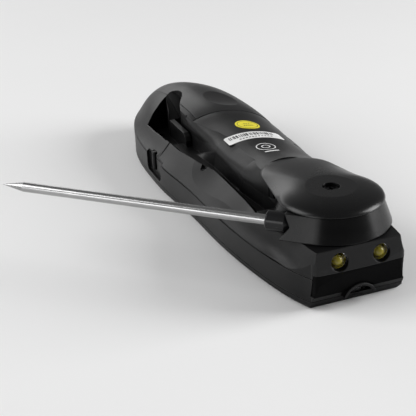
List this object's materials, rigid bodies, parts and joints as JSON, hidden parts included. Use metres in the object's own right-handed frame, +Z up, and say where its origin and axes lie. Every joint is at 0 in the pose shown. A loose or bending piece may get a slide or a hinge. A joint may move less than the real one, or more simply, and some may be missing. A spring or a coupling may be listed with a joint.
{
  "type": "infrared thermometer",
  "caption": "Pocket infrared thermometer lying face down, with a fold-out penetration probe on a turning hub, nose flashlights and a sliding battery door.",
  "frame": {"origin": "on the probe hub's axis, in the plane of the display side that the instrument lies on", "axes": "+Z up out of the back, -Y towards the nose, +Y towards the tail, -X towards the side that the probe folds out to"},
  "size_m": [0.1217, 0.1789, 0.0326],
  "materials": {
    "shell_black": "satin, very fine spark texture",
    "band_black": "satin, very fine spark texture",
    "bezel_black": "satin",
    "cap_black": "semi-gloss",
    "door_black": "satin, very fine spark texture",
    "nose_black": "matt",
    "drum_black": "semi-gloss",
    "collar_black": "gloss",
    "barrel_black": "matt",
    "bar_black": "satin",
    "tray_black": "satin",
    "button_grey": "soft matt",
    "window_clear": "gloss",
    "lcd_grey": "satin",
    "diffuser_white": "satin",
    "silicone_grey": "matt",
    "carbon_black": "matt",
    "pcb_green": "solder mask",
    "chip_black": "matt",
    "can_steel": "satin",
    "can_aluminium": "satin",
    "buzzer_black": "matt",
    "reed_glass": "gloss",
    "lens_smoke": "satin",
    "led_amber": "clear tinted",
    "reflector_chrome": "bright",
    "screw_steel": "black zinc",
    "bush_brass": "turned",
    "spring_steel": "bright",
    "contact_nickel": "nickel plate",
    "magnet_nickel": "nickel plate",
    "seal_rubber": "matt",
    "cell_wrap": "printed sleeve",
    "lead_sheath": "woven sheath",
    "probe_steel": "fine drawn",
    "tip_steel": "ground",
    "label_yellow": "paper",
    "label_white": "paper"
  },
  "bodies": {
    "housing": {"rear_shell": "shell_black", "front_shell": "band_black", "front_bezel": "bezel_black", "display_window": "window_clear", "nose_plate": "nose_black", "hub_cap": "cap_black", "pivot_screw": "screw_steel", "pivot_bush": "bush_brass", "wave_washer": "spring_steel", "drum_seal": "seal_rubber", "keypad_mat": "silicone_grey", "carbon_pills": "carbon_black", "lcd_glass": "lcd_grey", "lcd_backlight": "diffuser_white", "zebra_strips": "silicone_grey", "main_pcb": "pcb_green", "mcu_chip": "chip_black", "amplifier_chips": "chip_black", "crystal": "can_steel", "capacitors": "can_aluminium", "buzzer": "buzzer_black", "reed_switch": "reed_glass", "ir_barrel": "barrel_black", "ir_lens": "lens_smoke", "ir_sensor": "can_steel", "led_left": "led_amber", "led_right": "led_amber", "led_reflector_left": "reflector_chrome", "led_reflector_right": "reflector_chrome", "battery_tray": "tray_black", "battery_a": "cell_wrap", "battery_b": "cell_wrap", "battery_spring_a": "spring_steel", "battery_spring_b": "spring_steel", "battery_contacts": "contact_nickel", "housing_screws": "screw_steel", "strap_bar": "bar_black", "round_label": "label_yellow", "code_label": "label_white"},
    "probe": {"probe_drum": "drum_black", "drum_magnet": "magnet_nickel", "probe_lead": "lead_sheath", "probe_collar": "collar_black", "probe_rod": "probe_steel", "probe_tip": "tip_steel", "thermocouple": "lead_sheath"},
    "door": {"battery_door": "door_black"},
    "measure_button": {"button_measure": "button_grey"},
    "mode_button": {"button_mode": "button_grey"},
    "hold_button": {"button_hold": "button_grey"}
  },
  "joints": [
    {"name": "probe_swing", "type": "hinge", "parent": "housing", "child": "probe", "pos_m": [0, 0, 0.025], "axis": [0, 0, 1], "range_deg": [-46.2, 133.8]},
    {"name": "battery_door_slide", "type": "slide", "parent": "housing", "child": "door", "axis": [0, 1, 0], "range_m": [0, 0.05]},
    {"name": "measure_button_press", "type": "slide", "parent": "housing", "child": "measure_button", "axis": [0, 0, 1], "range_m": [0, 0.0008], "stiffness_N_per_m": 900, "springref_m": -0.0004},
    {"name": "mode_button_press", "type": "slide", "parent": "housing", "child": "mode_button", "axis": [0, 0, 1], "range_m": [0, 0.0008], "stiffness_N_per_m": 700, "springref_m": -0.0004},
    {"name": "hold_button_press", "type": "slide", "parent": "housing", "child": "hold_button", "axis": [0, 0, 1], "range_m": [0, 0.0008], "stiffness_N_per_m": 700, "springref_m": -0.0004}
  ]
}
